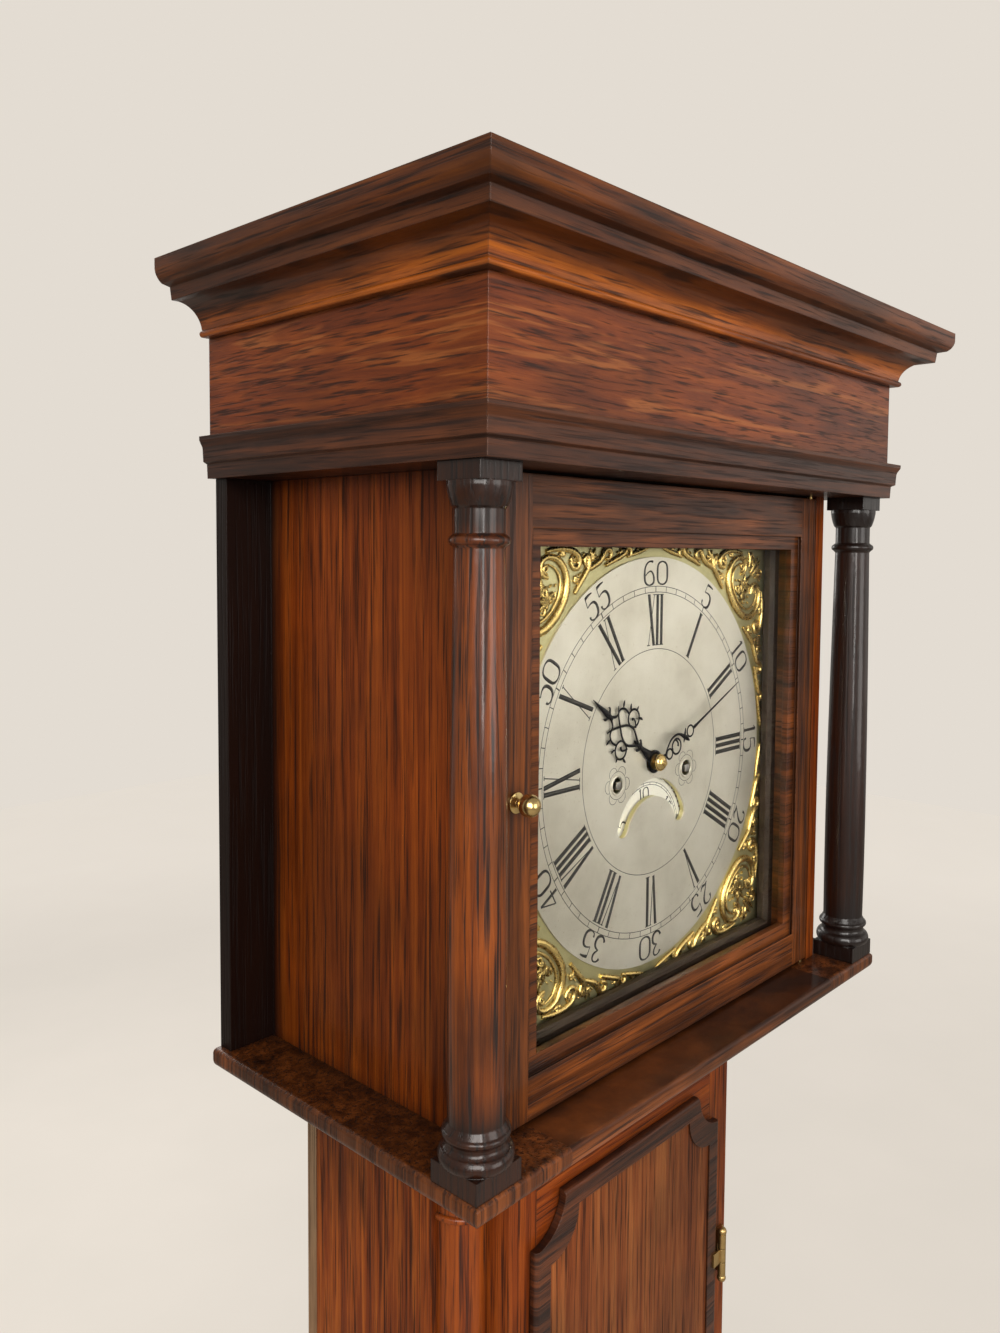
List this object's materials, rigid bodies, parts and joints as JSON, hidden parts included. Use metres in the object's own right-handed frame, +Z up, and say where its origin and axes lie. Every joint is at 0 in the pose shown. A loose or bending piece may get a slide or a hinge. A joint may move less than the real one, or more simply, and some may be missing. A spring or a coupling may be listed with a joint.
{
  "type": "longcase clock",
  "caption": "Tall weight-driven longcase clock in dark oak with a square hood, turned corner columns, silvered dial, hinged glazed hood door, trunk door, pendulum and weights.",
  "frame": {"origin": "centre of the bounding box at the floor, under the case", "axes": "+X to the right as seen from the front, -Y towards the viewer (dial side), +Z up"},
  "size_m": [0.538, 0.2846, 1.99],
  "materials": {
    "oak_case": "polished",
    "oak_moulding": "polished",
    "oak_inner": "plain",
    "mask_wood": "satin",
    "glass": "clear",
    "brass": "polished",
    "brass_old": "satin",
    "silvered": "satin",
    "steel": "polished",
    "iron": "rough",
    "bell_metal": "satin",
    "gut": "waxed"
  },
  "bodies": {
    "case": {"trunk_sides": "oak_case", "trunk_stiles": "oak_case", "trunk_rails": "oak_case", "base_panels": "oak_case", "skirting": "oak_case", "quarter_columns": "oak_moulding", "throat_moulding": "oak_moulding", "waist_moulding": "oak_moulding", "back_board": "oak_inner", "base_floor": "oak_inner", "seat_board": "oak_inner", "trunk_hinge_case": "brass_old", "movement_plates": "brass_old", "pillars": "brass_old", "dial_posts": "brass_old", "strike_wheel": "brass_old", "pendulum_cock": "brass_old", "dial_plate": "brass", "spandrels": "brass", "chapter_disc": "silvered", "bell": "bell_metal", "line_tops": "gut", "going_line": "gut", "strike_line": "gut"},
    "hood": {"frieze": "oak_case", "hood_sides": "oak_case", "cornice": "oak_moulding", "architrave": "oak_moulding", "hood_base": "oak_moulding", "column_left": "oak_moulding", "column_right": "oak_moulding", "hood_top": "oak_inner", "dial_mask": "mask_wood", "hood_door_pivots": "brass_old"},
    "hood_door": {"hood_door_frame": "oak_moulding", "hood_door_glass": "glass", "hood_door_knob": "brass"},
    "trunk_door": {"trunk_door": "oak_case", "trunk_door_lip": "oak_moulding", "trunk_hinge_door": "brass_old", "trunk_escutcheon": "brass"},
    "centre": {"minute_hand": "steel", "cannon_wheel": "brass_old", "centre_arbor": "brass_old"},
    "hour": {"hour_hand": "steel", "hour_wheel": "brass_old"},
    "minute_wheel": {"minute_wheel": "brass_old"},
    "date": {"date_disc": "silvered"},
    "third": {"third_arbor": "brass_old"},
    "escape": {"escape_arbor": "brass_old"},
    "great": {"great_wheel": "brass_old"},
    "anchor": {"anchor": "steel"},
    "pendulum": {"pendulum_rod": "steel", "pendulum_bob": "brass"},
    "going_weight": {"going_weight": "iron"},
    "going_pulley": {"going_pulley": "brass_old"},
    "going_barrel": {"going_barrel": "brass_old"},
    "strike_weight": {"strike_weight": "iron"},
    "strike_pulley": {"strike_pulley": "brass_old"},
    "strike_barrel": {"strike_barrel": "brass_old"}
  },
  "joints": [
    {"name": "hood_slide", "type": "slide", "parent": "case", "child": "hood", "axis": [0, -1, 0], "range_m": [0, 0.25]},
    {"name": "hood_door_hinge", "type": "hinge", "parent": "hood", "child": "hood_door", "pos_m": [0.1775, -0.0665, 1.668], "axis": [0, 0, 1], "range_deg": [0, 105]},
    {"name": "trunk_door_hinge", "type": "hinge", "parent": "case", "child": "trunk_door", "pos_m": [0.1155, -0.037, 0.996], "axis": [0, 0, 1], "range_deg": [0, 100]},
    {"name": "minute_turn", "type": "hinge", "parent": "case", "child": "centre", "pos_m": [0, -0.02, 1.668], "axis": [0, 1, 0], "continuous": true},
    {"name": "hour_turn", "type": "hinge", "parent": "case", "child": "hour", "pos_m": [0, -0.02, 1.668], "axis": [0, 1, 0], "continuous": true},
    {"name": "minute_wheel_turn", "type": "hinge", "parent": "case", "child": "minute_wheel", "pos_m": [0, -0.014, 1.6968], "axis": [0, 1, 0], "continuous": true},
    {"name": "date_turn", "type": "hinge", "parent": "case", "child": "date", "pos_m": [0, -0.038, 1.613], "axis": [0, 1, 0], "continuous": true},
    {"name": "third_turn", "type": "hinge", "parent": "case", "child": "third", "pos_m": [0.009, 0.02, 1.69003], "axis": [0, 1, 0], "continuous": true},
    {"name": "escape_turn", "type": "hinge", "parent": "case", "child": "escape", "pos_m": [0, 0.02, 1.70842], "axis": [0, 1, 0], "continuous": true},
    {"name": "great_turn", "type": "hinge", "parent": "case", "child": "great", "pos_m": [0.041, 0, 1.6575], "axis": [0, 1, 0], "continuous": true},
    {"name": "pendulum_swing", "type": "hinge", "parent": "case", "child": "pendulum", "pos_m": [0, 0.08, 1.73246], "axis": [0, 1, 0], "range_deg": [-3, 3]},
    {"name": "anchor_swing", "type": "hinge", "parent": "case", "child": "anchor", "pos_m": [0, 0.03, 1.73246], "axis": [0, 1, 0], "range_deg": [-3, 3]},
    {"name": "going_drop", "type": "slide", "parent": "case", "child": "going_weight", "axis": [0, 0, -1], "range_m": [0, 0.85], "deforming": ["going_line"]},
    {"name": "going_pulley_turn", "type": "hinge", "parent": "going_weight", "child": "going_pulley", "pos_m": [0.0453, 0.0231, 1.362], "axis": [0, 1, 0], "range_deg": [-5, 2239]},
    {"name": "going_barrel_turn", "type": "hinge", "parent": "case", "child": "going_barrel", "pos_m": [0.041, 0.02, 1.6575], "axis": [0, 1, 0], "range_deg": [-5, 3780]},
    {"name": "strike_drop", "type": "slide", "parent": "case", "child": "strike_weight", "axis": [0, 0, -1], "range_m": [0, 0.85], "deforming": ["strike_line"]},
    {"name": "strike_pulley_turn", "type": "hinge", "parent": "strike_weight", "child": "strike_pulley", "pos_m": [-0.0453, 0.0231, 1.362], "axis": [0, 1, 0], "range_deg": [-2239, 5]},
    {"name": "strike_barrel_turn", "type": "hinge", "parent": "case", "child": "strike_barrel", "pos_m": [-0.041, 0.02, 1.6575], "axis": [0, 1, 0], "range_deg": [-3780, 5]}
  ],
  "couplings": [
    {"joint": "hour_turn", "follows": "minute_turn", "ratio": 0.083333},
    {"joint": "minute_wheel_turn", "follows": "minute_turn", "ratio": -1},
    {"joint": "date_turn", "follows": "minute_turn", "ratio": -0.0013441},
    {"joint": "third_turn", "follows": "minute_turn", "ratio": -7.5},
    {"joint": "escape_turn", "follows": "minute_turn", "ratio": 60},
    {"joint": "great_turn", "follows": "minute_turn", "ratio": -0.083333},
    {"joint": "anchor_swing", "follows": "pendulum_swing", "ratio": 1},
    {"joint": "going_pulley_turn", "follows": "going_drop", "rad_per_m": 45.872},
    {"joint": "going_barrel_turn", "follows": "going_drop", "rad_per_m": 77.519},
    {"joint": "strike_pulley_turn", "follows": "strike_drop", "rad_per_m": -45.872},
    {"joint": "strike_barrel_turn", "follows": "strike_drop", "rad_per_m": -77.519}
  ]
}
